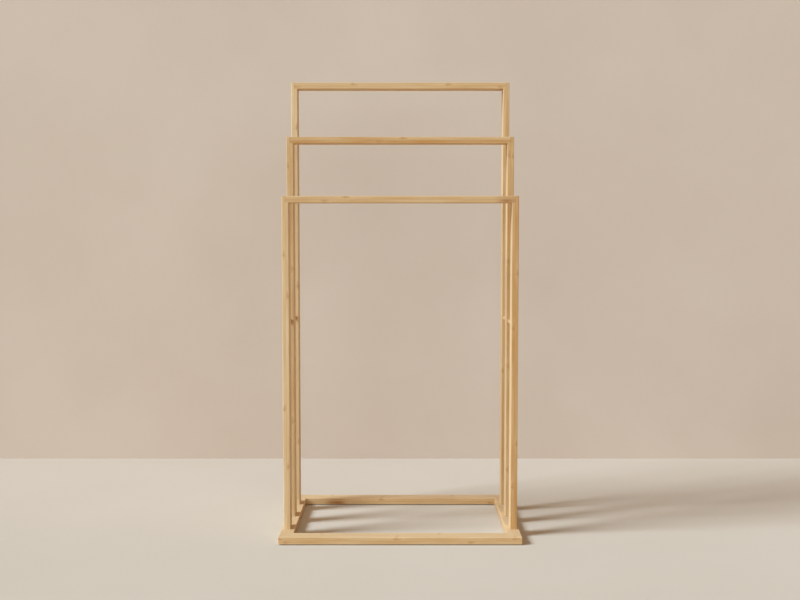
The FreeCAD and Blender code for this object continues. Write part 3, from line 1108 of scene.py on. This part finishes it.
def foam_rubber():
    """Matt foam rubber with closed cells."""
    made, tree, shader = new_material("foam_rubber")
    place = object_place(tree, MM_PER_M)
    cells = cell_distance(tree, place, RUBBER_CELL_SCALE)
    dust = cloud(tree, place, RUBBER_DUST_SCALE, PATCH_DETAIL, PATCH_CRISPNESS)
    tone = cells * RUBBER_CELL_SHARE + dust * RUBBER_DUST_SHARE
    feed(tree, shader.inputs["Base Color"], shades(tree, tone, RUBBER_SHADES))
    feed(tree, shader.inputs["Roughness"], dust * RUBBER_DUST_ROUGHNESS + RUBBER_ROUGHNESS)
    set_shader(shader, Specular_IOR_Level=RUBBER_SHINE)
    add_bump(tree, shader, cells, RUBBER_BUMP, RUBBER_BUMP_DEPTH)
    return made


def drawn_back(tree, figure, place):
    """The place in a pattern that is drawn out from front to back, as the dowels lie."""
    x, y, z = parts_of(tree, place)
    return vector_of(tree, x * figure["across"], y * figure["along"], z * figure["depth"])


def raw_dowel_wood():
    """Raw turned wood with fine pores along the dowel."""
    made, tree, shader = new_material("raw_dowel_wood")
    place = object_place(tree, MM_PER_M)
    streak_place = drawn_back(tree, DOWEL_STREAK, place)
    streaks = cloud(tree, streak_place, detail=PATCH_DETAIL, roughness=PATCH_CRISPNESS)
    pores = cell_distance(tree, drawn_back(tree, DOWEL_PORE, place)).ramp(*PORE_EDGE)
    colour = shades(tree, streaks, DOWEL_SHADES)
    feed(tree, shader.inputs["Base Color"], marked(tree, pores.turned_over(), colour, PORE_MARK))
    feed(tree, shader.inputs["Roughness"], streaks * STREAK_ROUGHNESS + DOWEL_ROUGHNESS)
    add_bump(tree, shader, pores, DOWEL_BUMP, DOWEL_BUMP_DEPTH)
    return made


# Screws, pads and dowels of the rack, in metres

FLOOR_LEVEL = 0.0

# Fittings line up with the middles of the posts or of the base's rails.
post_columns = measured(middle_of("front_right_post").x - middle_of("front_left_post").x)
post_rows = measured(middle_of("back_left_post").y - middle_of("front_left_post").y)
rail_columns = measured(middle_of("base_right_rail").x - middle_of("base_left_rail").x)
rail_rows = measured(middle_of("base_back_rail").y - middle_of("base_front_rail").y)

screws_low, screws_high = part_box("post_screws")
pads_low, pads_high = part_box("front_pads")
DOWEL_LENGTH = 0.030

grown_piece(
    "countersunk_screws",
    make_screw_tree(),
    ["post_screws"],
    {
        "Length": measured(screws_high.z - screws_low.z),
        "Head Radius": measured(screws_high.x - middle_of("front_right_post").x),
        "Core Radius": 0.0014,
        "Thread Radius": 0.0020,
        "Pitch": 0.0018,
        "Neck": 0.013,
        "Recess Width": 0.0046,
        "Recess Slot": 0.0010,
        "Recess Depth": 0.0018,
        "Seed": 7,
        "Width": post_columns,
        "Depth": post_rows,
        "Columns": 2,
        "Rows": 3,
        "Level": measured(screws_low.z),
        "Finish": zinc_steel(),
    },
)
grown_piece(
    "non_slip_pads",
    make_pad_tree(),
    ["front_pads", "back_pads"],
    {
        "Radius": measured(pads_high.x - middle_of("base_right_rail").x),
        "Thickness": measured(pads_high.z - pads_low.z),
        "Rim": 0.0006,
        "Width": rail_columns,
        "Depth": rail_rows,
        "Columns": 2,
        "Rows": 2,
        "Level": FLOOR_LEVEL,
        "Finish": foam_rubber(),
    },
)
grown_piece(
    "fluted_dowels",
    make_dowel_tree(),
    ["base_dowels"],
    {
        "Radius": measured(size_of("base_dowels").z / 2.0),
        "Length": DOWEL_LENGTH,
        "Flutes": 18.0,
        "Flute Depth": 0.00035,
        "Width": rail_columns,
        "Depth": measured(size_of("base_dowels").y - DOWEL_LENGTH),
        "Columns": 2,
        "Rows": 2,
        "Level": measured(middle_of("base_dowels").z),
        "Finish": raw_dowel_wood(),
    },
)


# Floor and wall

# Sizes and places of the stage, in metres.
FLOOR_REACH = 30.0
WALL_PLACE = 0.557
WALL_REACH = 6.0
WALL_TOP = 4.0

# A stage surface's two near tones, how fine its cloudiness is, and the tint of the light that it throws.
FLOOR_TONES = (paint(216, 216, 211), paint(213, 213, 207))
FLOOR_GRAIN = 2.0
FLOOR_WARMTH = (0.82, 0.60, 0.42, 1.0)
WALL_TONES = (paint(220, 215, 209), paint(216, 210, 203))
WALL_GRAIN = 3.0
WALL_WARMTH = (0.92, 0.66, 0.45, 1.0)
MOTTLE_EDGE = (0.35, 0.65)
MOTTLE_DETAIL = 4.0
MOTTLE_CRISPNESS = 0.55
STAGE_ROUGHNESS = 0.9


def flat_sheet(name, corners):
    """A flat four-cornered sheet of the stage."""
    mesh = bpy.data.meshes.new(name)
    mesh.from_pydata(corners, [], [tuple(range(len(corners)))])
    mesh.update()
    sheet = bpy.data.objects.new(name, mesh)
    bpy.context.scene.collection.objects.link(sheet)
    return sheet


def stage_finish(name, tones, grain, warmth):
    """A matt stage surface with a slight cloudiness, which throws a warmer light than its own colour."""
    made, tree, shader = new_material(name)
    coordinates = tree.nodes.new("ShaderNodeTexCoord")
    mottle = cloud(tree, coordinates.outputs["Object"], grain, MOTTLE_DETAIL, MOTTLE_CRISPNESS)
    pale, deep = tones
    colour = shades(tree, mottle, list(zip(MOTTLE_EDGE, (deep, pale))))
    thrown = Signal(tree, tree.nodes.new("ShaderNodeLightPath").outputs["Is Diffuse Ray"])
    warmed = blended(tree, 1.0, colour, warmth, "MULTIPLY")
    feed(tree, shader.inputs["Base Color"], blended(tree, thrown, colour, warmed))
    set_shader(shader, Roughness=STAGE_ROUGHNESS, Specular_IOR_Level=0.0)
    return made


def mix_shaders(tree, share, first, second, outlet):
    """Puts two shaders together by a share of the second, and shows the result."""
    either = tree.nodes.new("ShaderNodeMixShader")
    feed(tree, either.inputs[MIX_SHARE], share)
    tree.links.new(first.outputs[0], either.inputs[1])
    tree.links.new(second.outputs[0], either.inputs[2])
    tree.links.new(either.outputs[0], tree.nodes[outlet].inputs["Surface"])


def open_from_behind(finish):
    """Lets a sheet be looked through from behind, as the open side of a studio set.

    Lamps shine past it too.
    """
    tree = finish.node_tree
    behind = Signal(tree, tree.nodes.new("ShaderNodeNewGeometry").outputs["Backfacing"])
    shadow = Signal(tree, tree.nodes.new("ShaderNodeLightPath").outputs["Is Shadow Ray"])
    clear = tree.nodes.new("ShaderNodeBsdfTransparent")
    solid = tree.nodes["Principled BSDF"]
    mix_shaders(tree, behind.worked("MAXIMUM", shadow), solid, clear, "Material Output")


floor = flat_sheet(
    "floor",
    [
        (-FLOOR_REACH, -FLOOR_REACH, FLOOR_LEVEL),
        (FLOOR_REACH, -FLOOR_REACH, FLOOR_LEVEL),
        (FLOOR_REACH, FLOOR_REACH, FLOOR_LEVEL),
        (-FLOOR_REACH, FLOOR_REACH, FLOOR_LEVEL),
    ],
)
floor_finish = stage_finish("pale_floor", FLOOR_TONES, FLOOR_GRAIN, FLOOR_WARMTH)
floor.data.materials.append(floor_finish)

wall = flat_sheet(
    "wall",
    [
        (-WALL_REACH, WALL_PLACE, FLOOR_LEVEL),
        (WALL_REACH, WALL_PLACE, FLOOR_LEVEL),
        (WALL_REACH, WALL_PLACE, WALL_TOP),
        (-WALL_REACH, WALL_PLACE, WALL_TOP),
    ],
)
wall_finish = stage_finish("pale_wall", WALL_TONES, WALL_GRAIN, WALL_WARMTH)
wall.data.materials.append(wall_finish)
open_from_behind(wall_finish)


# Light

# The key lamp is a large soft one, to the left and a little in front, at about 35 degrees up.
KEY_SIDE = Vector((-0.79, -0.24, 0.57)).normalized()
KEY_SPREAD = math.radians(20.0)
KEY_LEVEL = 1.05
KEY_TINT = (0.955, 1.015, 1.035)

# The fill lamp is a very soft one behind the camera, low enough to leave the shadows on the floor deep.
FILL_SIDE = Vector((0.08, -0.99, 0.02)).normalized()
FILL_SPREAD = math.radians(54.0)
FILL_LEVEL = 0.468
FILL_TINT = (0.975, 1.0, 0.96)

# The room's own light is warm and even, and past the stage a plain backdrop is seen.
ROOM_LEVEL = 0.205
ROOM_TINT = (1.0, 0.61, 0.33, 1.0)
BACKDROP = paint(202, 185, 168)


def add_lamp(name, side, spread, level, tint):
    """A soft far lamp on one side, with the level at which it lights a facing surface."""
    data = bpy.data.lights.new(name, "SUN")
    data.energy = level * math.pi
    data.angle = spread
    data.color = tint
    lamp = bpy.data.objects.new(name, data)
    lamp.rotation_euler = (-side).to_track_quat("-Z", "Y").to_euler()
    bpy.context.scene.collection.objects.link(lamp)


add_lamp("key_lamp", KEY_SIDE, KEY_SPREAD, KEY_LEVEL, KEY_TINT)
add_lamp("fill_lamp", FILL_SIDE, FILL_SPREAD, FILL_LEVEL, FILL_TINT)

world = bpy.data.worlds.new("room_light")
bpy.context.scene.world = world
world.use_nodes = True
sky = world.node_tree
room = sky.nodes["Background"]
room.inputs["Color"].default_value = ROOM_TINT
room.inputs["Strength"].default_value = ROOM_LEVEL
backdrop = sky.nodes.new("ShaderNodeBackground")
backdrop.inputs["Color"].default_value = BACKDROP
ray = sky.nodes.new("ShaderNodeLightPath")
seen = Signal(sky, ray.outputs["Is Camera Ray"])
seen = seen.worked("MAXIMUM", Signal(sky, ray.outputs["Is Glossy Ray"]))
seen = seen.worked("MAXIMUM", Signal(sky, ray.outputs["Is Transmission Ray"]))
mix_shaders(sky, seen, room, backdrop, "World Output")


# Camera, fitted to the photograph's edges

# The sensor and the lens are in millimetres, the camera's place in metres and its pitch in degrees.
SENSOR_WIDTH = 36.0
LENS = 46.8
CAMERA_PLACE = (-0.00053, -1.90936, 0.52581)
LEVEL_PITCH = 90.0
CAMERA_DOWN = 3.3677

camera_data = bpy.data.cameras.new("camera")
camera_data.sensor_width = SENSOR_WIDTH
camera_data.lens = LENS
camera = bpy.data.objects.new("camera", camera_data)
camera.location = CAMERA_PLACE
camera.rotation_euler = (math.radians(LEVEL_PITCH - CAMERA_DOWN), 0.0, 0.0)
bpy.context.scene.collection.objects.link(camera)
bpy.context.scene.camera = camera

bpy.context.scene.view_settings.view_transform = "Standard"
